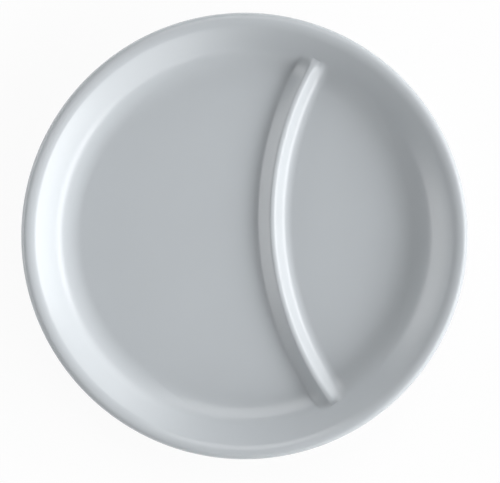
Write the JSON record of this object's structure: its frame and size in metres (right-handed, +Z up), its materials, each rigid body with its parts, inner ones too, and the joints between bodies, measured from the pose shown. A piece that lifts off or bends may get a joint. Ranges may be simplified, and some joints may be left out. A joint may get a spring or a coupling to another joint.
{
  "type": "insulated divided plate",
  "caption": "Round divided insulated meal plate: a glossy food shell with a curved divider, bonded over a foam-filled base shell that stands on a non-slip foot ring.",
  "frame": {"origin": "centre of the circle that the plate stands on, at the underside of the foot ring", "axes": "+Z up out of the food side, +X from the plate's centre towards the smaller compartment, +Y along the divider; the plate is the same on both sides of the XZ plane"},
  "size_m": [0.26, 0.26, 0.0348],
  "materials": {
    "food_gloss": "gloss",
    "base_satin": "satin",
    "rigid_foam": "matte",
    "seal_rubber": "matte",
    "foot_rubber": "matte",
    "plug_plastic": "satin"
  },
  "bodies": {
    "root": {"food_shell": "food_gloss", "base_shell": "base_satin", "foam_core": "rigid_foam", "rim_seal": "seal_rubber", "foot_ring": "foot_rubber", "fill_plug": "plug_plastic", "vent_plug": "plug_plastic"}
  },
  "joints": []
}
